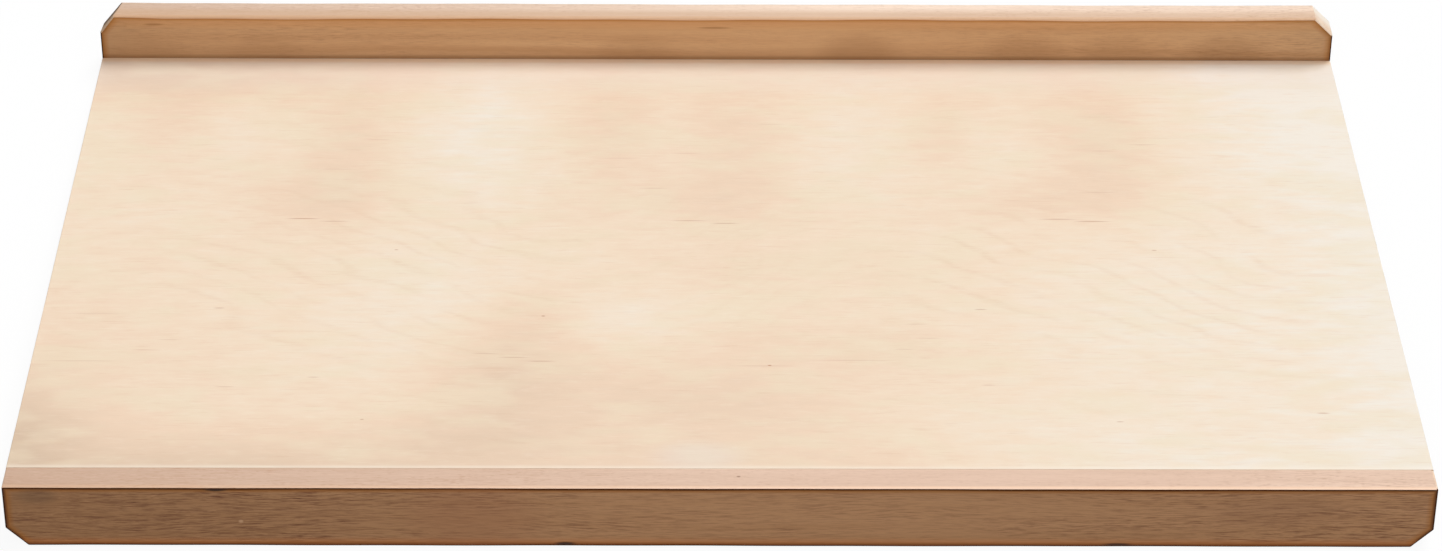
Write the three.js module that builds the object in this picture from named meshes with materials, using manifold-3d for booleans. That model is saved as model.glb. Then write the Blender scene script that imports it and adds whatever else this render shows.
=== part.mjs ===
// A pastry board: a birch plywood panel between two beech rails.
// The front rail hangs below the panel and hooks over the edge of a worktop.
// The back rail is the same lath turned over, and stands up to keep flour and dough on the board.
// Millimetres, +X to the right, +Y to the back, +Z up, origin at the centre of the panel's underside.

import * as THREE from 'three';
import { mergeVertices } from 'three/addons/utils/BufferGeometryUtils.js';
import Module from 'manifold-3d';

// Driving dimensions of the whole board
const BOARD_WIDTH = 800;
const BOARD_DEPTH = 500;

// Plywood: two face veneers, the inner veneers between them, and the glue film between neighbours
const FACE_VENEER = 1.2;
const INNER_VENEER = 1.26;
const INNER_VENEERS = 5;
const VENEER_GLUE = 0.05;

// Rails: a lath with eased long edges and its two free corners cut at 45 degrees
const RAIL_THICKNESS = 19;
const RAIL_HEIGHT = 40;
const RAIL_CORNER = 12;
const RAIL_EASE = 1;
const RAIL_GLUE = 0.1;

// Dowels that carry the rails on the panel's edges
const DOWEL_DIAMETER = 5;
const DOWEL_LENGTH = 30;
const DOWEL_CHAMFER = 0.8;
const DOWELS_PER_RAIL = 7;
const DOWEL_END_MARGIN = 40;
const DOWEL_CLEARANCE = 0.3;
const HOLE_END_ROOM = 1;
const WOOD_BEFORE_HOLE = 5;

// Fineness of the round shapes, and how far a cutter runs past the face that it cuts
const DOWEL_SIDES = 16;
const EASE_STEPS = 3;
const CUT_OVERRUN = 1;

// Sizes that follow from these
const veneers = [FACE_VENEER, ...Array(INNER_VENEERS).fill(INNER_VENEER), FACE_VENEER];
const panelThickness = veneers.reduce((sum, veneer) => sum + veneer) + (veneers.length - 1) * VENEER_GLUE;
const panelDepth = BOARD_DEPTH - 2 * (RAIL_THICKNESS + RAIL_GLUE);
const railJoint = BOARD_DEPTH / 2 - RAIL_THICKNESS;
const dowelPitch = (BOARD_WIDTH - 2 * DOWEL_END_MARGIN) / (DOWELS_PER_RAIL - 1);
const firstDowel = DOWEL_END_MARGIN - BOARD_WIDTH / 2;
const dowelSpots = Array.from({ length: DOWELS_PER_RAIL }, (_, i) => firstDowel + i * dowelPitch);
const dowelCentre = BOARD_DEPTH / 2 - WOOD_BEFORE_HOLE - HOLE_END_ROOM - DOWEL_LENGTH / 2;

const wasm = await Module();
wasm.setup();

// A closed geometry as a solid that can be cut
function solidOf(geometry) {
  const bare = geometry.clone();
  bare.deleteAttribute('normal');
  bare.deleteAttribute('uv');
  const merged = mergeVertices(bare);
  return new wasm.Manifold(new wasm.Mesh({
    numProp: 3,
    vertProperties: merged.attributes.position.array,
    triVerts: new Uint32Array(merged.index.array),
  }));
}

// The geometry that is left when all the cutters are taken away from it
function cut(geometry, cutters) {
  const left = cutters.reduce((solid, cutter) => solid.subtract(solidOf(cutter)), solidOf(geometry));
  const mesh = left.getMesh();
  const result = new THREE.BufferGeometry();
  result.setAttribute('position', new THREE.BufferAttribute(mesh.vertProperties, mesh.numProp));
  result.setIndex(new THREE.BufferAttribute(mesh.triVerts, 1));
  return result;
}

// The row of dowel holes along one joint, their axes along Y and their middles at the given y and z
function dowelHoles(y, z) {
  const radius = DOWEL_DIAMETER / 2 + DOWEL_CLEARANCE;
  const depth = DOWEL_LENGTH + 2 * HOLE_END_ROOM;
  const hole = new THREE.CylinderGeometry(radius, radius, depth, DOWEL_SIDES);
  return dowelSpots.map((x) => hole.clone().translate(x, y, z));
}

// A dowel with chamfered ends, its axis along Y and its middle at the origin
function dowelGeometry() {
  const radius = DOWEL_DIAMETER / 2;
  const half = DOWEL_LENGTH / 2;
  const profile = [
    new THREE.Vector2(0, -half),
    new THREE.Vector2(radius - DOWEL_CHAMFER, -half),
    new THREE.Vector2(radius, DOWEL_CHAMFER - half),
    new THREE.Vector2(radius, half - DOWEL_CHAMFER),
    new THREE.Vector2(radius - DOWEL_CHAMFER, half),
    new THREE.Vector2(0, half),
  ];
  return new THREE.LatheGeometry(profile, DOWEL_SIDES);
}

// The rail's section across its length: square where it meets the panel, eased on its three free edges.
// The joint is at y = 0 and the middle of the panel's thickness at z = 0.
function railSection() {
  const top = panelThickness / 2;
  const bottom = top - RAIL_HEIGHT;
  const front = -RAIL_THICKNESS;
  const section = new THREE.Shape();
  section.moveTo(0, top);
  section.lineTo(front + RAIL_EASE, top);
  section.absarc(front + RAIL_EASE, top - RAIL_EASE, RAIL_EASE, Math.PI / 2, Math.PI, false);
  section.lineTo(front, bottom + RAIL_EASE);
  section.absarc(front + RAIL_EASE, bottom + RAIL_EASE, RAIL_EASE, Math.PI, Math.PI * 1.5, false);
  section.lineTo(-RAIL_EASE, bottom);
  section.absarc(-RAIL_EASE, bottom + RAIL_EASE, RAIL_EASE, -Math.PI / 2, 0, false);
  section.closePath();
  return section;
}

// The wedge that cuts off one free corner of the rail, at the end on the given side
function cornerWedge(side) {
  const bottom = panelThickness / 2 - RAIL_HEIGHT - CUT_OVERRUN;
  const end = BOARD_WIDTH / 2 + CUT_OVERRUN;
  const reach = RAIL_CORNER + 2 * CUT_OVERRUN;
  const wedge = new THREE.Shape();
  wedge.moveTo(side * end, bottom);
  wedge.lineTo(side * (end - reach), bottom);
  wedge.lineTo(side * end, bottom + reach);
  wedge.closePath();
  const length = RAIL_THICKNESS + 2 * CUT_OVERRUN;
  const geometry = new THREE.ExtrudeGeometry(wedge, { depth: length, bevelEnabled: false });
  return geometry.rotateX(Math.PI / 2).translate(0, CUT_OVERRUN, 0);
}

// A rail as it lies along the front: the section carried along X, then the corners and dowel holes cut
function railGeometry() {
  const alongX = new THREE.Matrix4().makeBasis(
    new THREE.Vector3(0, 1, 0),
    new THREE.Vector3(0, 0, 1),
    new THREE.Vector3(1, 0, 0),
  );
  const lath = new THREE.ExtrudeGeometry(railSection(), {
    depth: BOARD_WIDTH,
    bevelEnabled: false,
    curveSegments: EASE_STEPS,
  });
  lath.translate(0, 0, -BOARD_WIDTH / 2).applyMatrix4(alongX);
  const holes = dowelHoles(railJoint - dowelCentre, 0);
  return cut(lath, [cornerWedge(-1), cornerWedge(1), ...holes]);
}

function wood(color, roughness) {
  return new THREE.MeshStandardMaterial({ color, roughness, metalness: 0, flatShading: true });
}

const faceBirch = wood(0xf2dcc4, 0.55);
const crossBirch = wood(0xe8cda9, 0.65);
const longBirch = wood(0xd9b78f, 0.7);
const railBeech = wood(0xd8b08a, 0.5);
const dowelBeech = wood(0xd2a77c, 0.7);

const board = new THREE.Group();

function addPiece(name, geometry, material) {
  const piece = new THREE.Mesh(geometry, material);
  piece.name = name;
  board.add(piece);
  return piece;
}

// Veneers from the underside up, the grain of each turned across its neighbours'
let level = 0;
veneers.forEach((thickness, i) => {
  const isBottom = i === 0;
  const isTop = i === veneers.length - 1;
  const name = isBottom ? 'bottom_face_veneer' : isTop ? 'top_face_veneer' : `inner_veneer_${i}`;
  const material = isBottom || isTop ? faceBirch : i % 2 ? crossBirch : longBirch;
  const middle = level + thickness / 2;
  const sheet = new THREE.BoxGeometry(BOARD_WIDTH, panelDepth, thickness);
  const toDowels = panelThickness / 2 - middle;
  const holes = [...dowelHoles(-dowelCentre, toDowels), ...dowelHoles(dowelCentre, toDowels)];
  addPiece(name, cut(sheet, holes), material).position.z = middle;
  level += thickness + VENEER_GLUE;
});

// Rails: the one at the back is the front one turned over about the middle of the panel
addPiece('front_rail', railGeometry(), railBeech).position.set(0, -railJoint, panelThickness / 2);
const backRail = addPiece('back_rail', railGeometry(), railBeech);
backRail.position.set(0, railJoint, panelThickness / 2);
backRail.rotation.x = Math.PI;

// Dowels, numbered from the left
dowelSpots.forEach((x, i) => {
  const front = addPiece(`front_dowel_${i + 1}`, dowelGeometry(), dowelBeech);
  front.position.set(x, -dowelCentre, panelThickness / 2);
  const back = addPiece(`back_dowel_${i + 1}`, dowelGeometry(), dowelBeech);
  back.position.set(x, dowelCentre, panelThickness / 2);
});

export default board;
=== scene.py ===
from math import pi, radians

import bpy
import numpy as np
from mathutils import Euler, Matrix, Vector


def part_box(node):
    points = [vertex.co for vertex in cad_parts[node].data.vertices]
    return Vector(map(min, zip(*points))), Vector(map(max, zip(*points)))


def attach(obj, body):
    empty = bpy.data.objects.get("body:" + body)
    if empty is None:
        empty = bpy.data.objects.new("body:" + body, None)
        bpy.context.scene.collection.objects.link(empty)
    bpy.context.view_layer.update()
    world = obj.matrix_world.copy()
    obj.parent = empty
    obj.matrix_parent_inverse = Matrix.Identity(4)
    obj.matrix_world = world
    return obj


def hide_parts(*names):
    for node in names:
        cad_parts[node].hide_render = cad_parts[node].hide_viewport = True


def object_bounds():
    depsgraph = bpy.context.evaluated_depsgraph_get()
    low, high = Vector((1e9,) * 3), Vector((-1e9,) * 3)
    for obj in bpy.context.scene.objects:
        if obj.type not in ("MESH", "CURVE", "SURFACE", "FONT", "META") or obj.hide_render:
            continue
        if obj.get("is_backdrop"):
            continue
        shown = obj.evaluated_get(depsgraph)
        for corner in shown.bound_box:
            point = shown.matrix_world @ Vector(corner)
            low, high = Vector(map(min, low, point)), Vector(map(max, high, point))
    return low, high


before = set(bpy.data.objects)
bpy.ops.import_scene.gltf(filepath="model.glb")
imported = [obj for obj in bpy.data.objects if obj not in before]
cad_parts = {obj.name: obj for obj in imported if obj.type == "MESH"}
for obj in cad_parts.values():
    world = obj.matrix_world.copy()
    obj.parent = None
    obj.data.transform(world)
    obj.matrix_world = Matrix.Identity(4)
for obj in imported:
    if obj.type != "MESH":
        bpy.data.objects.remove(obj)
cad_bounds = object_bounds()


# Inner veneers: five sheets of birch peeled from the log and pressed together with glue, the grain of each
# turned across its neighbours. They show as stripes on the panel's sawn left and right edges: sheets whose
# grain runs to that edge show darker end grain, and the sheets between them paler side grain.
INNER_VENEERS = 5
WOOD_IOR = 1.5


def linear(colour):
    """The linear RGBA of an sRGB colour written as #rrggbb."""
    srgb = np.array([int(colour[i:i + 2], 16) for i in (1, 3, 5)]) / 255
    rgb = np.where(srgb <= 0.04045, srgb / 12.92, ((srgb + 0.055) / 1.055) ** 2.4)
    return (*rgb.tolist(), 1.0)


def node(tree, kind, inputs, **settings):
    """Adds a shader node: settings by name, inputs by name or number. A socket is linked, a value set."""
    made = tree.nodes.new("ShaderNode" + kind)
    for name, value in settings.items():
        setattr(made, name, value)
    for key, value in inputs.items():
        if isinstance(value, bpy.types.NodeSocket):
            tree.links.new(value, made.inputs[key])
        else:
            made.inputs[key].default_value = value
    return made


def new_material(name):
    """A material without nodes yet: the material, its tree and the piece's own coordinates in metres."""
    material = bpy.data.materials.new(name)
    material.use_nodes = True
    material.node_tree.nodes.clear()
    return material, material.node_tree, node(material.node_tree, "TexCoord", {}).outputs["Object"]


def spots(tree, place, size, share, reach=(0.0, 1.0), detail=2.0):
    """A share that wanders over the wood: noise in spots of that size in metres along X, Y and Z. At the
    two noise values of reach it has the two values of share, and runs straight between them."""
    scaled = node(tree, "Mapping", {"Vector": place, "Scale": [1 / length for length in size]}).outputs[0]
    noise = node(tree, "TexNoise", {"Vector": scaled, "Scale": 1.0, "Detail": detail}).outputs[0]
    limits = {"From Min": reach[0], "From Max": reach[1], "To Min": share[0], "To Max": share[1]}
    return node(tree, "MapRange", {"Value": noise, **limits}).outputs[0]


def tinted(tree, colour, layers):
    """The colour under layers of tint. A layer is its share, 0 for none and 1 for all, and its tint."""
    for share, tint in layers:
        colour = node(tree, "Mix", {0: share, 6: colour, 7: linear(tint)}, data_type="RGBA").outputs[2]
    return colour


def surface(tree, colour, roughness, specular, height=None, relief=0.0):
    """Ends a material: a wood surface of that colour, with a fine relief in metres if a height is given."""
    inputs = {"Base Color": colour, "Roughness": roughness, "IOR": WOOD_IOR, "Specular IOR Level": specular}
    if height is not None:
        bump = node(tree, "Bump", {"Height": height, "Distance": relief, "Strength": 1.0})
        inputs["Normal"] = bump.outputs[0]
    shader = node(tree, "BsdfPrincipled", inputs)
    node(tree, "OutputMaterial", {"Surface": shader.outputs[0]})


# Sawn end grain drinks light: darker and browner than the face, quite matt, with open pores. The real pores
# are a tenth of a millimetre wide and are drawn 0.8 mm wide here.
END_GRAIN_DARK, END_GRAIN_PALE = "#B58E66", "#CFAB82"
END_GRAIN_PORE = (0.0008, 0.0008, 0.0005)
birch_end, tree, place = new_material("birch_sawn_end_grain")
pores = spots(tree, place, END_GRAIN_PORE, share=(0.0, 1.0))
end_grain = tinted(tree, linear(END_GRAIN_DARK), [(pores, END_GRAIN_PALE)])
surface(tree, end_grain, roughness=0.75, specular=0.3)

# Sawn side grain is paler and a little smoother, with streaks that run along Y as the fibres do. Real
# fibres are 0.02 mm thick, and the streaks are drawn 0.6 to 1 mm thick here.
SIDE_GRAIN_DARK, SIDE_GRAIN_PALE = "#D3B58D", "#E6CFAE"
SIDE_GRAIN_STREAK = (0.001, 0.02, 0.0006)
birch_side, tree, place = new_material("birch_sawn_side_grain")
streaks = spots(tree, place, SIDE_GRAIN_STREAK, share=(0.0, 1.0))
side_grain = tinted(tree, linear(SIDE_GRAIN_DARK), [(streaks, SIDE_GRAIN_PALE)])
surface(tree, side_grain, roughness=0.65, specular=0.4)

for number in range(1, INNER_VENEERS + 1):
    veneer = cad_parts[f"inner_veneer_{number}"]
    runs_across = number % 2 == 1
    veneer.data.materials.clear()
    veneer.data.materials.append(birch_side if runs_across else birch_end)


# Face veneers: the panel's top and bottom sheets, birch peeled to 1.2 mm with the grain along the board,
# sanded smooth and left bare. The knife's slow cut through the year rings leaves wide faint contour lines,
# and wavy fibres leave soft darker and paler bands across the grain.

# Radius of the eased arrises at left and right, mesh steps round one, and the length of a step on the flat
VENEER_ARRIS = 0.0006
ARRIS_STEPS = 4
SHEET_STEP = 0.004

# Soft patches of the tone: middle x and y, half sizes along x and y in metres, and depth, darker above 0.
# Some are the figure's darker and paler bands. The rest are painted light: painted shade in the front-left and
# back-left corners, along the front edge and in a band at the stop rail's foot, and painted highlight towards
# the right end.
FIGURE_AND_SHADING_PATCHES = (
    (-0.232, 0.115, 0.028, 0.085, 1.5), (-0.256, 0.054, 0.046, 0.023, 1.2),
    (-0.067, 0.132, 0.027, 0.068, 1.5), (0.010, 0.115, 0.030, 0.090, 1.4),
    (-0.014, 0.056, 0.042, 0.024, 0.9), (0.243, 0.120, 0.031, 0.085, 1.8),
    (0.205, 0.056, 0.045, 0.025, 1.2), (0.140, 0.135, 0.018, 0.055, 0.7),
    (-0.344, 0.150, 0.022, 0.055, 0.7), (-0.310, 0.120, 0.022, 0.050, -0.5),
    (-0.150, 0.140, 0.042, 0.080, -1.8), (0.085, 0.130, 0.034, 0.075, -0.6),
    (0.178, 0.115, 0.020, 0.045, -0.4), (0.352, 0.170, 0.063, 0.120, -1.5),
    (0.415, -0.060, 0.060, 0.320, -2.2), (-0.185, -0.060, 0.050, 0.075, -0.9),
    (0.280, -0.080, 0.110, 0.110, -1.4), (-0.053, -0.078, 0.038, 0.022, -1.0),
    (-0.122, -0.136, 0.042, 0.044, 3.0), (-0.111, -0.076, 0.022, 0.030, 1.2),
    (-0.138, -0.202, 0.055, 0.032, 2.7), (-0.012, -0.162, 0.088, 0.038, 2.2),
    (0.065, -0.105, 0.085, 0.025, 0.8), (0.030, -0.010, 0.090, 0.045, 0.5),
    (-0.365, -0.085, 0.055, 0.045, 0.6), (-0.415, -0.205, 0.050, 0.065, 7.0),
    (-0.300, -0.250, 0.140, 0.045, 5.9), (-0.370, 0.240, 0.130, 0.045, 6.8),
    (0.270, -0.225, 0.190, 0.045, -1.2), (0.020, -0.225, 0.140, 0.030, 1.8),
    (0.020, 0.231, 0.230, 0.012, 2.6), (0.350, 0.231, 0.060, 0.034, -1.7),
    (0.172, 0.043, 0.024, 0.014, 0.6),
)

# Waves of the year rings along the board: their length, where one has its crest, how far they swing, how
# much longer their way down is, and the width of one ring
RING_WAVE = 0.45
RING_CREST = -0.345
RING_SWING = 0.085
RING_LEAN = 0.25
RING_WIDTH = 0.024

# Across the board: the y at which the rings swing most, the y at which they show most, and how far each
# reaches. Then the share of them that still shows by the rails, and where their waves run up to the right.
SWING_MIDDLE, SWING_REACH = -0.02, 0.12
CLEAR_MIDDLE, CLEAR_REACH = -0.03, 0.10
CLEAR_BY_RAILS = 0.35
CLEAR_RUNNING_UP = 0.34


def ring_turn(x):
    """Where a point is on its wave, from 0 on a crest to 2 pi on the next. The way down is the longer."""
    turn = 2 * pi * (x - RING_CREST) / RING_WAVE
    return turn - RING_LEAN * (1 - np.cos(turn))


def ring_count(x, y):
    """How many year rings lie below a point: its y less a cosine wave along x, which swings most near the
    middle of the board's depth and fades towards the rails, divided by the width of one ring."""
    swing = RING_SWING * np.exp(-((y - SWING_MIDDLE) / SWING_REACH) ** 2)
    return (y - swing * np.cos(ring_turn(x))) / RING_WIDTH


def ring_depth(x, y):
    """How clearly the rings show: most where their waves run down to the right, a third as much where
    they run up, and less towards both rails, by e to minus the fourth power of the distance in reaches."""
    middle = np.exp(-((y - CLEAR_MIDDLE) / CLEAR_REACH) ** 4)
    across = CLEAR_BY_RAILS + (1 - CLEAR_BY_RAILS) * middle
    return across * np.interp(np.sin(ring_turn(x)), (-0.5, 0.5), (CLEAR_RUNNING_UP, 1.0))


def figure_and_shading_patches(x, y):
    """Sum of the patches: each is its depth times e to minus the squared distance in its own half sizes."""
    total = np.zeros_like(x)
    for at_x, at_y, half_x, half_y, depth in FIGURE_AND_SHADING_PATCHES:
        total += depth * np.exp(-((x - at_x) / half_x) ** 2 - ((y - at_y) / half_y) ** 2)
    return total


def closed_sweep(name, rings):
    """A closed mesh from rings of points: rings[i, j] is point j of ring i. Neighbouring rings are joined
    by four-sided faces, ring after ring, and then the first and the last ring are filled. Seen from the
    first ring's end, the points of a ring run clockwise."""
    count, around = rings.shape[:2]
    first = np.arange(count - 1)[:, None] * around + np.arange(around)
    second = np.arange(count - 1)[:, None] * around + (np.arange(around) + 1) % around
    faces = np.stack([first, second, second + around, first + around], axis=-1).reshape(-1, 4).tolist()
    faces.append(list(range(around))[::-1])
    faces.append(list(range((count - 1) * around, count * around)))
    mesh = bpy.data.meshes.new(name)
    mesh.from_pydata(rings.reshape(-1, 3).tolist(), [], faces)
    piece = bpy.data.objects.new(name, mesh)
    bpy.context.scene.collection.objects.link(piece)
    return piece


def face_veneer(name, cad_node, up):
    """A sheet: its section in X and Z (a flat face, two eased arrises, two square edges and a flat glue
    side) carried along Y in equal steps. up is 1 where the eased face is on top and -1 where it is
    underneath. The edges and the glue side take the second material."""
    low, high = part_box(cad_node)
    half = high.x - VENEER_ARRIS
    turn = np.linspace(pi / 2, 0, ARRIS_STEPS + 1)
    flat_x = np.linspace(-half, half, round(2 * half / SHEET_STEP) + 1)[1:-1]
    right_x = half + VENEER_ARRIS * np.cos(turn)
    drop = VENEER_ARRIS * (1 - np.sin(turn))
    thickness = high.z - low.z
    x = np.concatenate([flat_x, right_x, [high.x, low.x], -right_x[::-1]])
    depth = np.concatenate([0 * flat_x, drop, [thickness, thickness], drop[::-1]])
    y = np.linspace(low.y, high.y, round((high.y - low.y) / SHEET_STEP) + 1)
    z = high.z - depth if up > 0 else low.z + depth
    rings = np.empty((len(y), len(x), 3))
    rings[:, :, 0], rings[:, :, 1], rings[:, :, 2] = x, y[:, None], z

    # Three strips are sawn or glued: the right edge, the glue side and the left edge
    right_edge = len(flat_x) + ARRIS_STEPS
    sawn = np.zeros(len(x), int)
    sawn[right_edge:right_edge + 3] = 1
    if up < 0:
        rings, sawn = rings[:, ::-1], np.roll(sawn[::-1], -1)
    piece = closed_sweep(name, rings)
    piece.data.polygons.foreach_set("material_index", np.append(np.tile(sawn, len(y) - 1), (1, 1)))
    patterns = {"ring_count": ring_count, "ring_depth": ring_depth, "figure_and_shading": figure_and_shading_patches}
    for layer, pattern in patterns.items():
        values = pattern(rings[:, :, 0], rings[:, :, 1] * up)
        piece.data.attributes.new(layer, "FLOAT", "POINT").data.foreach_set("value", values.ravel())
    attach(piece, "root")
    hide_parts(cad_node)
    return piece


# The core of a mark, as a share of its half sizes
MARK_CORE = 0.3


def marks(tree, place, chosen):
    """Layers for single marks in the wood. A mark is its middle, its half sizes, its tint and its cover:
    the share is the cover in the core of that ellipsoid and falls smoothly to 0 at its outline."""
    layers = []
    for middle, half, tint, cover in chosen:
        off = node(tree, "VectorMath", {0: place, 1: middle}, operation="SUBTRACT").outputs[0]
        off = node(tree, "VectorMath", {0: off, 1: half}, operation="DIVIDE").outputs[0]
        off = node(tree, "VectorMath", {0: off}, operation="LENGTH").outputs["Value"]
        fade = {"Value": off, "From Min": MARK_CORE, "From Max": 1.0, "To Min": cover, "To Max": 0.0}
        layers.append((node(tree, "MapRange", fade, interpolation_type="SMOOTHSTEP").outputs[0], tint))
    return layers


# Bare sanded birch: almost white, a little pink, with a silky sheen at a low angle. The fibres are 0.02 mm
# thick and are drawn 0.9 mm thick here. Short brown pith flecks lie along the grain, and a little flour and
# dough has stayed on the face; the dough band also paints the warm shade at the stop rail's foot. First its
# tones, from the palest level to the darkest: the palest levels also paint highlight and the darkest paint
# shade in the corners. Then noise on that level and on the ring count: size of its spots, how much it adds,
# and its detail.
BIRCH_TONES = ((-2.2, "#EFE6D9"), (-1.2, "#EFDFCB"), (0.0, "#EED8BF"), (1.0, "#EBD0B6"), (7.0, "#D3B99F"))
BIRCH_MOTTLE = (
    ((0.12, 0.05, 0.05), 1.2, 2.0),
    ((0.022, 0.009, 0.009), 2.2, 2.0),
    ((0.03, 0.003, 0.003), 1.2, 3.0),
)
RING_WANDER = (((0.12, 0.05, 0.05), 2.4, 1.0), ((0.03, 0.010, 0.010), 0.4, 2.0))
BIRCH_CREAM, BIRCH_WHITE = "#EADBBF", "#FBF1E4"
RING_LINE, FLECK = "#C68A54", "#B06A34"
FLOUR, DOUGH_AND_WARM_SHADE = "#E6DAD0", "#EAB882"

# Ring lines: how much of a ring the line takes up on either side, and the sizes of its gaps and its grain
RING_LINE_HALF = 0.2
RING_GAP = (0.05, 0.02, 0.02)
RING_GRAIN = (0.009, 0.0018, 0.0018)

# Sizes of the cream clouds, fibres, longer dark pores and pale dashes, and the height of the relief
BIRCH_CLOUD = (0.045, 0.02, 0.02)
BIRCH_FIBRE = (0.004, 0.0009, 0.0009)
BIRCH_PORE = (0.018, 0.0014, 0.0014)
BIRCH_DASH = (0.010, 0.0020, 0.0020)
BIRCH_RELIEF = 0.00002

# Pith flecks: middle x and y, half length in metres, and cover
FLECK_HALF_WIDTH = 0.0007
FLECKS = (
    (-0.254, 0.0335, 0.013, 0.60), (-0.235, 0.0305, 0.012, 0.40), (-0.018, 0.0320, 0.014, 0.40),
    (0.004, 0.0290, 0.011, 0.45), (0.208, 0.0345, 0.015, 0.45), (0.229, 0.0320, 0.014, 0.55),
    (-0.214, 0.128, 0.011, 0.18), (-0.236, 0.092, 0.013, 0.15), (-0.062, 0.106, 0.016, 0.20),
    (-0.020, 0.112, 0.012, 0.18), (0.034, 0.148, 0.012, 0.15), (0.268, 0.124, 0.013, 0.20),
    (0.243, 0.116, 0.011, 0.20), (0.236, 0.066, 0.014, 0.18), (-0.372, -0.1235, 0.030, 0.20),
    (-0.334, -0.112, 0.011, 0.18), (-0.322, -0.101, 0.009, 0.18), (-0.368, -0.073, 0.022, 0.18),
    (0.024, -0.1275, 0.026, 0.18), (0.076, -0.1215, 0.028, 0.20), (0.108, -0.110, 0.008, 0.18),
    (0.123, -0.098, 0.010, 0.20), (0.116, -0.083, 0.010, 0.18),
    (-0.040, 0.070, 0.012, 0.25), (-0.137, -0.115, 0.010, 0.25), (-0.120, -0.119, 0.012, 0.35),
    (-0.104, -0.123, 0.011, 0.40), (-0.195, -0.002, 0.0016, 0.5), (0.264, -0.001, 0.0022, 0.5),
    (-0.104, -0.075, 0.0016, 0.8), (0.029, -0.127, 0.0016, 0.8), (-0.296, -0.067, 0.0045, 0.45),
    (0.155, -0.067, 0.0050, 0.45), (0.345, -0.175, 0.0050, 0.5), (0.228, -0.184, 0.0030, 0.4),
    (-0.235, -0.140, 0.0050, 0.3), (-0.285, -0.150, 0.0080, 0.25), (0.155, -0.147, 0.0050, 0.3),
    (-0.204, -0.183, 0.0016, 0.5),
)

# Marks on the top face: a painted highlight along its edge by the hook rail, flour along the stop rail and
# then dough with painted warm shade at its foot, and one spill of flour. A mark is a band where its half size
# is LONG, far longer than the board.
LONG = 9.0
panel_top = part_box("top_face_veneer")[1].z
hook_low, hook_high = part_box("front_rail")
stop_low, stop_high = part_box("back_rail")
TOP_FACE_MARKS = [
    ((0.0, hook_high.y, panel_top), (LONG, 0.004, 0.004), BIRCH_WHITE, 0.35),
    ((0.0, stop_low.y, panel_top), (LONG, 0.055, 0.004), FLOUR, 0.35),
    ((0.0, stop_low.y, panel_top), (LONG, 0.007, 0.004), DOUGH_AND_WARM_SHADE, 0.40),
    ((-0.013, -0.219, panel_top), (0.036, 0.020, 0.004), FLOUR, 0.35),
]
birch_face, tree, place = new_material("birch_sanded_veneer")
tone = node(tree, "Attribute", {}, attribute_name="figure_and_shading").outputs["Fac"]
for size, depth, detail in BIRCH_MOTTLE:
    wander = spots(tree, place, size, share=(-depth / 2, depth / 2), detail=detail)
    tone = node(tree, "Math", {0: tone, 1: wander}, operation="ADD").outputs[0]
lightest, darkest = BIRCH_TONES[0][0], BIRCH_TONES[-1][0]
share = node(tree, "MapRange", {"Value": tone, "From Min": lightest, "From Max": darkest}).outputs[0]
ramp = node(tree, "ValToRGB", {"Fac": share})
stops = ramp.color_ramp.elements
for level, _ in BIRCH_TONES[1:-1]:
    stops.new((level - lightest) / (darkest - lightest))
for stop, (_, tint) in zip(stops, BIRCH_TONES):
    stop.color = linear(tint)

count = node(tree, "Attribute", {}, attribute_name="ring_count").outputs["Fac"]
for size, shift, detail in RING_WANDER:
    wander = spots(tree, place, size, share=(0.0, shift), detail=detail)
    count = node(tree, "Math", {0: count, 1: wander}, operation="ADD").outputs[0]
phase = node(tree, "Math", {0: count, 1: 0.5}, operation="PINGPONG").outputs[0]
line = node(tree, "MapRange", {"Value": phase, "From Min": RING_LINE_HALF, "From Max": 0.0},
            interpolation_type="SMOOTHSTEP").outputs[0]
for share in (node(tree, "Attribute", {}, attribute_name="ring_depth").outputs["Fac"],
              spots(tree, place, RING_GAP, share=(0.0, 1.0), reach=(0.34, 0.58)),
              spots(tree, place, RING_GRAIN, share=(0.045, 0.14), reach=(0.38, 0.66))):
    line = node(tree, "Math", {0: line, 1: share}, operation="MULTIPLY").outputs[0]

layers = [
    (spots(tree, place, BIRCH_CLOUD, share=(0.0, 0.45), reach=(0.45, 0.65)), BIRCH_CREAM),
    (line, RING_LINE),
    (spots(tree, place, BIRCH_FIBRE, share=(0.0, 0.035), reach=(0.4, 0.8), detail=3.0), RING_LINE),
    (spots(tree, place, BIRCH_PORE, share=(0.0, 0.16), reach=(0.60, 0.80)), RING_LINE),
    (spots(tree, place, BIRCH_DASH, share=(0.0, 0.13), reach=(0.45, 0.20)), BIRCH_WHITE),
]
flecks = [((x, y, 0.0), (half, FLECK_HALF_WIDTH, LONG), FLECK, cover) for x, y, half, cover in FLECKS]
colour = tinted(tree, ramp.outputs[0], layers + marks(tree, place, flecks + TOP_FACE_MARKS))
fibres = spots(tree, place, BIRCH_FIBRE, share=(0.0, 1.0), detail=3.0)
surface(tree, colour, roughness=0.5, specular=0.5, height=fibres, relief=BIRCH_RELIEF)

for name, cad_node, up in (
    ("bottom_veneer", "bottom_face_veneer", -1),
    ("top_veneer", "top_face_veneer", 1),
):
    sheet = face_veneer(name, cad_node, up)
    sheet.data.materials.append(birch_face)
    sheet.data.materials.append(birch_end)


# Dowels: turned beech pins of 5 mm, glued into blind holes across both joints. They are out of sight inside
# the rails and the panel.
DOWELS_PER_RAIL = 7

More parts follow.
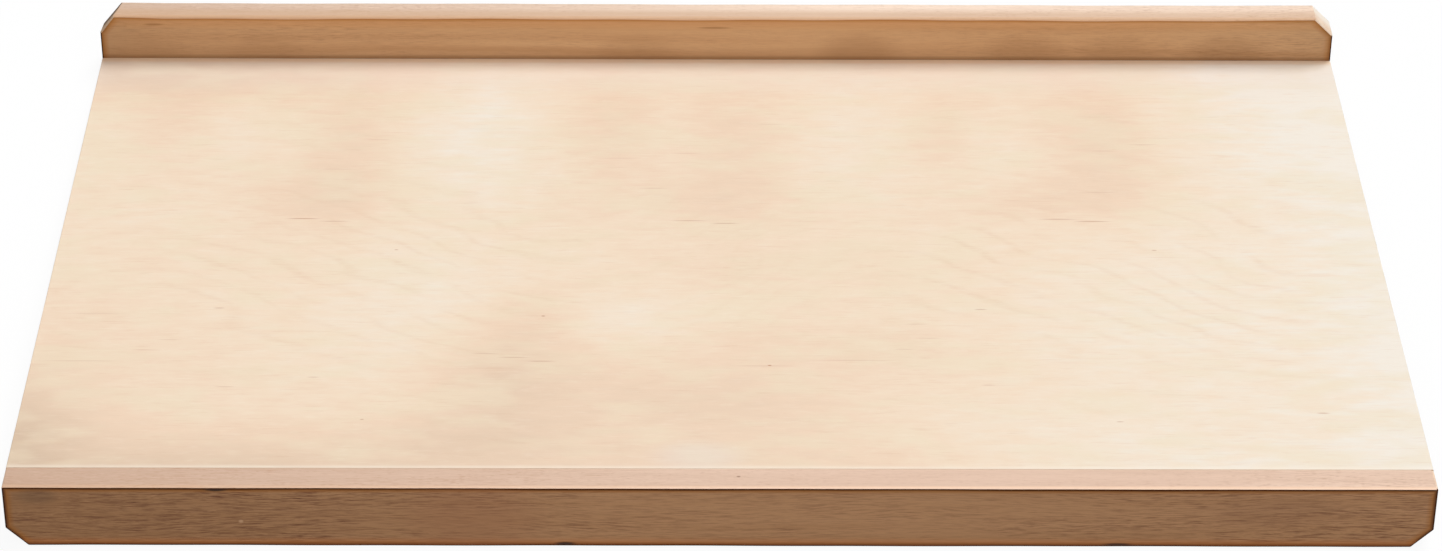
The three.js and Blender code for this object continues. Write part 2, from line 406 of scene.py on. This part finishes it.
# Turned beech is dull and plain, with streaks along the pin. They are drawn as coarse as those on the edges
# of the veneers.
DOWEL_DARK, DOWEL_PALE = "#B98D66", "#D2A77C"
DOWEL_STREAK = (0.001, 0.02, 0.001)
dowel_beech, tree, place = new_material("beech_turned_dowel")
streaks = spots(tree, place, DOWEL_STREAK, share=(0.0, 1.0))
pin_wood = tinted(tree, linear(DOWEL_DARK), [(streaks, DOWEL_PALE)])
surface(tree, pin_wood, roughness=0.6, specular=0.4)
for row in ("front", "back"):
    for number in range(1, DOWELS_PER_RAIL + 1):
        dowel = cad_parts[f"{row}_dowel_{number}"]
        dowel.data.materials.clear()
        dowel.data.materials.append(dowel_beech)


# Rails: two laths of solid beech, planed on their wide faces, their narrow faces sanded flush with the
# panel after gluing. Two corners of each are sawn off at 45 degrees. The front one hangs down to catch the
# edge of the worktop, and the back one stands up to stop flour and dough.
CORNER_CUT = 0.012

# Sides of the outline, from the flush one to the right end and round, and the rail's materials by number
SIDES = range(6)
FLUSH, RIGHT_END, RIGHT_CUT, FREE, LEFT_CUT, LEFT_END = SIDES
PLANED, SANDED, SAWN, SHADED_ARRIS = range(4)

# Radius of the outline's corners, ease of the end arrises and of the glued one, the length over which the
# long arrises fade to the end ones, and how far the painted edge shade reaches onto the face along each side
OUTLINE_ROUND = 0.001
END_EASE = 0.0009
FLUSH_EASE = 0.00015
EASE_FADE = 0.03
EDGE_SHADE_WIDTHS = np.array([0.0042, 0.006, 0.006, 0.0042, 0.006, 0.006])

# Hand sanding leaves two waves on the ease: their share of it, metres to a radian, and the radians by which
# they shift per metre of y
SANDING_WAVES = ((0.18, 0.043, 90), (0.12, 0.0137, 40))

# Steps of the mesh round an eased edge and round a corner, and the length of a step along the outline
EASE_STEPS = 5
TURN_STEPS = 3
RAIL_STEP = 0.001


def inset_corners(corners, outward, widths):
    """The corners of an outline after each side has moved inwards by its own width: where two sides meet,
    which solves two equations, one for each side: its normal times the shift is its width."""
    normals = np.stack([np.roll(outward, 1, 0), outward], axis=1)
    distances = np.stack([np.roll(widths, 1), widths], axis=1)[:, :, None]
    return corners - np.linalg.solve(normals, distances)[:, :, 0]


def along_outline(corners, steps):
    """Points round an outline: TURN_STEPS of them on each corner, then equal steps straight to the next."""
    points = []
    for i in SIDES:
        share = np.append(np.zeros(TURN_STEPS), np.arange(steps[i]) / steps[i])[:, None]
        points.append(corners[i] * (1 - share) + corners[(i + 1) % len(SIDES)] * share)
    return np.concatenate(points)


def outline_normals(outward, steps):
    """Unit normals for these points: on a corner they turn from one side's to the next, and then stay."""
    normals = []
    turn = np.linspace(0, 1, TURN_STEPS + 1)[:, None]
    for i in SIDES:
        turned = outward[i - 1] * (1 - turn) + outward[i] * turn
        normals.append(turned / np.linalg.norm(turned, axis=1)[:, None])
        normals.append(np.repeat(outward[i:i + 1], steps[i] - 1, 0))
    return np.concatenate(normals)


def rail(name, cad_node, free, ease, left_cuts, shaded_arris_front, shaded_arris_rear):
    """A lath: its outline in X and Z, with small round corners, is carried through Y as rings. A ring at
    the turn t of an eased edge lies (1 - sin t) times the ease inside the outline, and (1 - cos t) times
    the ease behind the face. The ease wanders along the long edges. The first and the last ring lie further
    in on the wide faces, and a layer of painted edge shade rises from 0 there to 1 at the arris. free is the
    direction of the side with the corners cut, -1 down and 1 up. left_cuts holds the width and height of the
    left cut on the front face and on the rear one. The last two arguments name the sides whose arrises take
    painted shade, on the front face and on the rear one."""
    low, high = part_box(cad_node)
    left, right = low.x, high.x
    flush, edge = (high.z, low.z) if free < 0 else (low.z, high.z)
    shoulder = edge - free * CORNER_CUT
    upright = abs(shoulder - flush)
    lengths = (right - left, upright, CORNER_CUT, right - left, CORNER_CUT, upright)
    steps = [max(2, round(length / RAIL_STEP)) for length in lengths]
    side = np.repeat(SIDES, np.array(steps) + TURN_STEPS)
    is_long = np.isin(side, (FLUSH, FREE))
    turns = np.linspace(0, pi / 2, EASE_STEPS + 1)
    halves = []
    faces = ((low.y, 1, left_cuts[0], free > 0), (high.y, -1, left_cuts[1], free < 0))
    for face_y, inwards, (cut_width, cut_height), is_joint in faces:
        corners = np.array([(left, flush), (right, flush), (right, shoulder), (right - CORNER_CUT, edge),
                            (left + cut_width, edge), (left, edge - free * cut_height)])
        along = np.roll(corners, -1, 0) - corners
        outward = np.stack([along[:, 1], -along[:, 0]], axis=1) * free
        outward /= np.linalg.norm(along, axis=1)[:, None]
        normal = outline_normals(outward, steps)
        rounds = np.full(len(SIDES), OUTLINE_ROUND)
        base = along_outline(inset_corners(corners, outward, rounds), steps)
        # The outline on the wide face at which the painted edge shade starts
        edge_shading = along_outline(inset_corners(corners, outward, EDGE_SHADE_WIDTHS), steps)
        # Half a round keeps the points on a corner apart
        edge_shading += normal * OUTLINE_ROUND / 2

        x = base[:, 0]
        span = np.where(side == FREE, right - CORNER_CUT, right)
        fade = np.where(is_long, np.clip((span - np.abs(x)) / EASE_FADE, 0, 1), 0)
        waves = sum(part * np.sin(x / radian + low.y * shift) for part, radian, shift in SANDING_WAVES)
        eased = END_EASE + (ease * (1 + waves) - END_EASE) * fade
        if is_joint:
            eased[side == FLUSH] = FLUSH_EASE
        rings = [np.stack([edge_shading[:, 0], np.full_like(x, face_y), edge_shading[:, 1]], axis=1)]
        for t in turns:
            at = base + normal * (OUTLINE_ROUND - eased * (1 - np.sin(t)))[:, None]
            rings.append(np.stack([at[:, 0], face_y + inwards * eased * (1 - np.cos(t)), at[:, 1]], axis=1))
        halves.append(rings)
    rings = np.array(halves[0] + halves[1][::-1])
    if free > 0:
        rings, side = rings[:, ::-1], np.roll(side[::-1], -1)
    piece = closed_sweep(name, rings)

    # The chosen sides' arrises take painted shade: the flush side's in its two outer strips, and the other
    # sides' right across
    kinds = np.tile(np.where(np.isin(side, (FLUSH, FREE)), SANDED, SAWN), (len(rings) - 1, 1))
    kinds[0] = kinds[-1] = PLANED
    for arris, shaded_arris in ((kinds[1:EASE_STEPS + 1], shaded_arris_front), (kinds[-2:-EASE_STEPS - 2:-1], shaded_arris_rear)):
        arris[:2, np.isin(side, shaded_arris)] = SHADED_ARRIS
        arris[:, np.isin(side, shaded_arris) & (side != FLUSH)] = SHADED_ARRIS
    piece.data.polygons.foreach_set("material_index", np.append(kinds.ravel(), (PLANED, PLANED)))
    # Painted edge shade: 0 on that inner outline, 1 from the arris on
    edge_shade = np.ones(rings.shape[:2])
    edge_shade[0] = edge_shade[-1] = 0
    piece.data.attributes.new("edge_shade", "FLOAT", "POINT").data.foreach_set("value", edge_shade.ravel())
    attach(piece, "root")
    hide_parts(cad_node)
    return piece


# Sizes of beech's pattern: how far its grain swings and over what length, its streaks, rays, crowds of
# rays, dark and pale fibres, and the fibres and height of its relief. Real rays are 0.2 mm wide and fibres
# 0.02 mm, and they are drawn 0.6 to 0.9 mm wide here.
GRAIN_SWING = 0.004
GRAIN_WAVE = (0.18, 0.05, 0.03)
BEECH_STREAK = (0.25, 0.006, 0.005)
RAY_SIZE = (0.0045, 0.0008, 0.0008)
RAY_CROWD = (0.09, 0.012, 0.012)
DARK_FIBRE = (0.011, 0.0006, 0.0006)
PALE_FIBRE = (0.006, 0.0006, 0.0006)
BEECH_FIBRE = (0.005, 0.0009, 0.0009)
BEECH_RELIEF = 0.00003

# A ray's least and most reach within its cell, and the share of that reach up to which it is darkest. Then
# how strong the pale fibres are beside the dark ones.
RAY_REACH = (0.1, 0.5)
RAY_CORE = 0.3
PALE_TO_DARK = 0.7

# The share of painted shade colour at the left end, away from the light, and the quiet stretch with half
# the rays: its middle, its half length, the distance from its middle at which all of them show, and the share
# that it keeps
LEFT_SHADE_SHARE = 0.6
QUIET_MIDDLE, QUIET_HALF, QUIET_END = 0.05, 0.05, 0.3
QUIET_SHARE = 0.5

# Painted shade along the edges, warm and then dark at the arris: where on the way there the dark starts
EDGE_SHADE_WARM, EDGE_SHADE_DARK = "#A8651C", "#421C05"
EDGE_SHADE_DARK_FROM = 0.6


def beech(name, tones, left_shade, left_shade_end, rays, lines, roughness, specular, edge_shading=(0.0, 0.0), chosen=()):
    """Beech as a solid pattern. Long soft streaks run between the dark and the pale tone. From a given x to
    its left end the lath takes a second, darker colour: painted shade, as the light comes from the right. Rays
    are short spindles, the middles of stretched cells. Lines are thin fibres, darker and paler. Rays and dark
    lines are strongest near both ends, and all swing a little, as the grain does. rays and lines are each a
    colour and a share. Towards the edges painted shade makes the wood warmer, and darkest at the arris: the
    argument after specular holds these two shares. chosen holds single marks."""
    material, tree, place = new_material(name)
    x = node(tree, "SeparateXYZ", {0: place}).outputs[0]
    # Painted shade, darker towards the left end as the light comes from the right
    to_left_shade = {"Value": x, "From Min": left_shade_end, "From Max": hook_low.x, "To Max": LEFT_SHADE_SHARE}
    near_left_shade = node(tree, "MapRange", to_left_shade).outputs[0]
    swing = spots(tree, place, GRAIN_WAVE, share=(-GRAIN_SWING, GRAIN_SWING), reach=(0.2, 0.8))
    swing = node(tree, "CombineXYZ", {"Z": swing}).outputs[0]
    wavy = node(tree, "VectorMath", {0: place, 1: swing}, operation="ADD").outputs[0]

    cells_per_metre = [1 / length for length in RAY_SIZE]
    spread = node(tree, "Mapping", {"Vector": wavy, "Scale": cells_per_metre}).outputs[0]
    cells = node(tree, "TexVoronoi", {"Vector": spread, "Scale": 1.0})
    luck = node(tree, "SeparateColor", {0: cells.outputs["Color"]}).outputs[0]
    shortest, longest = RAY_REACH
    reach = node(tree, "MapRange", {"Value": luck, "To Min": shortest, "To Max": longest}).outputs[0]
    ray = node(tree, "Math", {0: cells.outputs["Distance"], 1: reach}, operation="DIVIDE").outputs[0]
    fade = {"Value": ray, "From Min": RAY_CORE, "From Max": 1.0, "To Min": rays[1], "To Max": 0.0}
    ray = node(tree, "MapRange", fade).outputs[0]
    off = node(tree, "Math", {0: x, 1: QUIET_MIDDLE}, operation="SUBTRACT").outputs[0]
    off = node(tree, "Math", {0: off}, operation="ABSOLUTE").outputs[0]
    to_ends = {"Value": off, "From Min": QUIET_HALF, "From Max": QUIET_END, "To Min": QUIET_SHARE}
    near_ends = node(tree, "MapRange", to_ends).outputs[0]
    crowd = spots(tree, place, RAY_CROWD, share=(0.4, 1.0), reach=(0.35, 0.65))
    crowd = node(tree, "Math", {0: crowd, 1: near_ends}, operation="MULTIPLY").outputs[0]
    ray = node(tree, "Math", {0: ray, 1: crowd}, operation="MULTIPLY").outputs[0]

    dark_line = spots(tree, wavy, DARK_FIBRE, share=(0.0, lines[1]), reach=(0.44, 0.72), detail=3.0)
    dark_line = node(tree, "Math", {0: dark_line, 1: crowd}, operation="MULTIPLY").outputs[0]
    pale_share = PALE_TO_DARK * lines[1]
    pale_line = spots(tree, wavy, PALE_FIBRE, share=(0.0, pale_share), reach=(0.45, 0.2), detail=3.0)
    layers = [
        (spots(tree, wavy, BEECH_STREAK, share=(0.0, 1.0), reach=(0.3, 0.7), detail=3.0), tones[1]),
        (near_left_shade, left_shade),
        (ray, rays[0]),
        (dark_line, lines[0]),
        (pale_line, tones[1]),
    ]
    # Painted shade along the edges: warm from the inner outline on, and dark near the arris
    edge_shade = node(tree, "Attribute", {}, attribute_name="edge_shade").outputs["Fac"]
    for start, share, tint in ((0.0, edge_shading[0], EDGE_SHADE_WARM), (EDGE_SHADE_DARK_FROM, edge_shading[1], EDGE_SHADE_DARK)):
        limits = {"Value": edge_shade, "From Min": start, "From Max": 1.0, "To Max": share}
        layers.append((node(tree, "MapRange", limits).outputs[0], tint))
    fibres = spots(tree, wavy, BEECH_FIBRE, share=(0.0, 1.0), detail=3.0)
    colour = tinted(tree, linear(tones[0]), layers + marks(tree, place, chosen))
    surface(tree, colour, roughness, specular, height=fibres, relief=BEECH_RELIEF)
    return material


# Planed beech is a warm red brown with many short darker rays. Its sanded narrow faces are paler and
# pinker, with fewer rays to see. Its sawn ends are matt, and its arrises carry painted shade, dark brown.
RAY_BROWN, SANDED_RAY, SAWN_RAY = "#6D412C", "#B18262", "#A57A56"
SPLIT_SHADE, FOOT_DARK, STREAK = "#20120A", "#7A4A1C", "#8A5526"

# Marks on the hook rail's face: painted shade along its lower arris, warm and then dark, four soft darker
# or redder places, painted shade in a split under its upper arris and in two more along its lower one, and a
# pale dent
HOOK_FACE_MARKS = [
    ((0.33, hook_low.y, -0.01), (0.30, LONG, LONG), "#875F3E", 0.06),
    ((0.0, hook_low.y, hook_low.z), (LONG, 0.01, 0.0070), "#D38044", 0.50),
    ((0.0, hook_low.y, hook_low.z), (LONG, 0.01, 0.0036), "#54280A", 0.65),
    ((-0.381, hook_low.y, 0.003), (0.016, 0.01, 0.008), "#5E4A3A", 0.35),
    ((-0.138, hook_low.y, -0.011), (0.050, 0.01, 0.040), "#A4694A", 0.25),
    ((0.311, hook_low.y, -0.006), (0.055, 0.01, 0.014), "#7C4F38", 0.2),
    ((-0.281, hook_low.y, 0.0078), (0.0090, 0.01, 0.0021), SPLIT_SHADE, 0.95),
    ((-0.087, hook_low.y, -0.0291), (0.0080, 0.01, 0.0018), SPLIT_SHADE, 0.90),
    ((0.223, hook_low.y, -0.0292), (0.0110, 0.01, 0.0015), SPLIT_SHADE, 0.80),
    ((-0.268, hook_low.y, -0.0140), (0.0018, 0.01, 0.0015), "#E0B48C", 0.6),
]

# On its top: a soft darker place, painted highlight along the front arris, most to the right, and a brown dot
HOOK_TOP_MARKS = [
    ((0.170, -0.24, hook_high.z), (0.190, LONG, LONG), "#CBA68E", 0.25),
    ((0.0, hook_low.y, hook_high.z), (LONG, 0.0036, LONG), "#E2B48C", 0.4),
    ((0.30, hook_low.y, hook_high.z), (0.70, 0.0036, LONG), "#FAD6BA", 0.75),
    ((0.010, -0.2386, hook_high.z), (0.0016, 0.0010, 0.01), "#7A4B2A", 0.7),
]

# On the stop rail's face: painted shade at the foot, a warm painted shade under the upper edge, two dark
# streaks, and seven darker places along the foot, each at its x and with its cover
FOOT_DARK_PLACES = ((-0.372, 0.15), (-0.294, 0.12), (-0.051, 0.15), (0.092, 0.26),
          (0.200, 0.22), (0.261, 0.15), (0.333, 0.24))
STOP_FACE_MARKS = [
    ((0.0, stop_low.y, panel_top), (LONG, LONG, 0.012), FOOT_DARK, 0.15),
    ((0.0, stop_low.y, panel_top), (LONG, LONG, 0.0035), "#5A3210", 0.4),
    ((0.0, stop_low.y, 0.0375), (LONG, LONG, 0.0080), "#CB8A4A", 0.3),
    ((-0.365, stop_low.y, 0.0340), (0.009, LONG, 0.0011), STREAK, 0.5),
    ((-0.002, stop_low.y, 0.0325), (0.014, LONG, 0.0011), STREAK, 0.5),
] + [((x, stop_low.y, 0.013), (0.036, LONG, 0.020), FOOT_DARK, cover) for x, cover in FOOT_DARK_PLACES]

# On its top: painted shade along the front arris, darker and, right at the edge, warmer. On its cuts:
# painted shade on the left one and a painted highlight on the right one, as the light comes from the right
STOP_TOP_MARKS = [
    ((0.0, stop_low.y, stop_high.z), (LONG, 0.0145, LONG), "#C99F79", 0.6),
    ((0.0, stop_low.y, stop_high.z), (LONG, 0.0028, LONG), "#D59A62", 0.3),
]
CUT_SHADE_AND_HIGHLIGHT = [
    ((-0.394, stop_high.y, 0.034), (0.03, 0.018, 0.03), "#3A2512", 0.85),
    ((0.394, stop_high.y, 0.034), (0.03, 0.016, 0.03), "#FFF4E6", 0.9),
]

# The looks of the four surfaces, under the names that the function beech has for them
PLANED_LOOK = {"left_shade_end": -0.06, "roughness": 0.55, "specular": 0.25}
SANDED_LOOK = {"left_shade_end": 0.08, "roughness": 0.5, "specular": 0.5,
               "rays": (SANDED_RAY, 0.65), "lines": (SANDED_RAY, 0.55)}
SAWN_LOOK = {"left_shade_end": 0.0, "roughness": 0.85, "specular": 0.05,
             "tones": ("#F4D5B8", "#FCE6CF"), "left_shade": "#A8825F",
             "rays": (SAWN_RAY, 0.4), "lines": (SAWN_RAY, 0.2), "chosen": CUT_SHADE_AND_HIGHLIGHT}
# The dark look of the arrises is painted shade
SHADED_ARRIS_LOOK = {"left_shade_end": 0.0, "roughness": 0.8, "specular": 0.0,
             "tones": ("#45230C", "#553014"), "left_shade": "#45230C",
             "rays": (RAY_BROWN, 0.2), "lines": (RAY_BROWN, 0.2)}
HOOK_PLANED = {**PLANED_LOOK, "tones": ("#BF8E64", "#C8976D"), "left_shade": "#90653F",
               "rays": (RAY_BROWN, 0.35), "lines": (RAY_BROWN, 1.05), "edge_shading": (1.0, 0.95),
               "chosen": HOOK_FACE_MARKS}
# The stop rail's face and top are paler than the hook rail's: partly another lath, partly painted light for
# the light that the panel throws back on its face and the brighter light on its top
STOP_PLANED = {**PLANED_LOOK, "tones": ("#C5976B", "#D1A579"), "left_shade": "#BF946B",
               "rays": (RAY_BROWN, 0.18), "lines": (RAY_BROWN, 0.35), "edge_shading": (0.85, 0.3),
               "chosen": STOP_FACE_MARKS}
HOOK_SANDED = {**SANDED_LOOK, "tones": ("#DFBFA8", "#E8C9B3"), "left_shade": "#AC876C",
               "chosen": HOOK_TOP_MARKS}
STOP_SANDED = {**SANDED_LOOK, "tones": ("#F1D6C0", "#FAE2CD"), "left_shade": "#AE896D",
               "chosen": STOP_TOP_MARKS}

# The hook rail has painted shade on its arrises all round its front. The stop rail's left cut was sawn a
# little askew.
HOOK_SHAPE = {"free": -1, "ease": 0.0010,
              "left_cuts": ((CORNER_CUT, CORNER_CUT), (CORNER_CUT, CORNER_CUT)),
              "shaded_arris_front": SIDES, "shaded_arris_rear": ()}
STOP_SHAPE = {"free": 1, "ease": 0.0016, "left_cuts": ((0.009, 0.012), (0.0125, 0.0155)),
              "shaded_arris_front": (RIGHT_END, LEFT_END), "shaded_arris_rear": (LEFT_CUT, LEFT_END)}
for name, cad_node, shape, planed, sanded in (
    ("hook_rail", "front_rail", HOOK_SHAPE, HOOK_PLANED, HOOK_SANDED),
    ("stop_rail", "back_rail", STOP_SHAPE, STOP_PLANED, STOP_SANDED),
):
    lath = rail(name, cad_node, **shape)
    for kind, look in (("planed", planed), ("sanded", sanded), ("sawn", SAWN_LOOK), ("shaded_arris", SHADED_ARRIS_LOOK)):
        lath.data.materials.append(beech(f"{name}_{kind}_beech", **look))


# Studio: a plain white floor that slopes with the board's own rest, so that the board stands on its hook
# rail and its back edge. A large soft light from above, a little behind and to the right, a wide faint one
# from the front, and a little even light all round.
FLOOR_HALF = 8.0
rise = (stop_low.z - hook_low.z) / (stop_high.y - hook_high.y)
front_z, back_z = (stop_low.z + (y - stop_high.y) * rise for y in (-FLOOR_HALF, FLOOR_HALF))
floor_mesh = bpy.data.meshes.new("floor")
floor_mesh.from_pydata([(-FLOOR_HALF, -FLOOR_HALF, front_z), (FLOOR_HALF, -FLOOR_HALF, front_z),
                        (FLOOR_HALF, FLOOR_HALF, back_z), (-FLOOR_HALF, FLOOR_HALF, back_z)],
                       [], [(0, 1, 2, 3)])
floor = bpy.data.objects.new("floor", floor_mesh)
bpy.context.scene.collection.objects.link(floor)
floor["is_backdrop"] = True


def seen_directly(tree):
    """1 for rays from the camera, off gloss or through glass, and 0 for light between matt surfaces."""
    path = node(tree, "LightPath", {}).outputs
    seen = path["Is Camera Ray"]
    for kind in ("Is Glossy Ray", "Is Transmission Ray"):
        seen = node(tree, "Math", {0: seen, 1: path[kind]}, operation="MAXIMUM").outputs[0]
    return seen


# White matt paper: it shows as an almost even white with the board's soft shadow on it, and throws back as
# much light on the board as a mid grey does.
PAPER_WHITE, PAPER_BOUNCE, GLOW_WHITE = "#FAFAFA", "#898989", "#FFFFFF"
PAPER_GLOW = 0.92
white_floor, tree, _ = new_material("floor_white_paper")
bounce = node(tree, "BsdfDiffuse", {"Color": linear(PAPER_BOUNCE)}).outputs[0]
paper = node(tree, "BsdfDiffuse", {"Color": linear(PAPER_WHITE)}).outputs[0]
glow = node(tree, "Emission", {"Color": linear(GLOW_WHITE), "Strength": 1.0}).outputs[0]
shown = node(tree, "MixShader", {0: PAPER_GLOW, 1: paper, 2: glow}).outputs[0]
mixed = node(tree, "MixShader", {0: seen_directly(tree), 1: bounce, 2: shown}).outputs[0]
node(tree, "OutputMaterial", {"Surface": mixed})
floor_mesh.materials.append(white_floor)

# The room: white where it is seen, and a little even light from all round
ROOM_LIGHT = 0.12
world = bpy.data.worlds.new("studio")
bpy.context.scene.world = world
world.use_nodes = True
tree = world.node_tree
tree.nodes.clear()
brightness = {"Value": seen_directly(tree), "To Min": ROOM_LIGHT, "To Max": 1.0}
level = node(tree, "MapRange", brightness).outputs[0]
sky = node(tree, "Background", {"Color": linear(GLOW_WHITE), "Strength": level}).outputs[0]
node(tree, "OutputWorld", {"Surface": sky})

# Softboxes: name, direction that the light comes from, width in degrees, and the level that it gives a flat
# white card
SOFTBOXES = (
    ("key_softbox", (0.30, 0.34, 1.0), 32, 0.58),
    ("fill_softbox", (0.10, -1.10, 1.0), 80, 0.32),
)
for name, towards, width, level in SOFTBOXES:
    softbox = bpy.data.lights.new(name, "SUN")
    direction = Vector(towards).normalized()
    softbox.angle = radians(width)
    softbox.energy = level * pi / direction.z
    lamp = bpy.data.objects.new(name, softbox)
    lamp.rotation_euler = direction.to_track_quat("Z", "Y").to_euler()
    bpy.context.scene.collection.objects.link(lamp)

# The camera stands 2.6 m from the board and looks down on it by 33 degrees. Its place is in metres, its
# angles are in degrees and its lens is in millimetres.
CAMERA_PLACE = (-0.0180, -2.1828, 1.3866)
CAMERA_PITCH, CAMERA_YAW, CAMERA_ROLL = 32.617, 0.513, -0.391
CAMERA_LENS = 106.36
lens = bpy.data.cameras.new("camera")
lens.lens = CAMERA_LENS
camera = bpy.data.objects.new("camera", lens)
turned = Euler((radians(90 - CAMERA_PITCH), 0, -radians(CAMERA_YAW))).to_matrix()
camera.matrix_world = (Matrix.Translation(CAMERA_PLACE)
                       @ (turned @ Matrix.Rotation(-radians(CAMERA_ROLL), 3, "Z")).to_4x4())
bpy.context.scene.collection.objects.link(camera)
bpy.context.scene.camera = camera
bpy.context.scene.view_settings.view_transform = "Standard"

size = {"cad": [list(corner) for corner in cad_bounds], "visual": [list(corner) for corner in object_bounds()]}
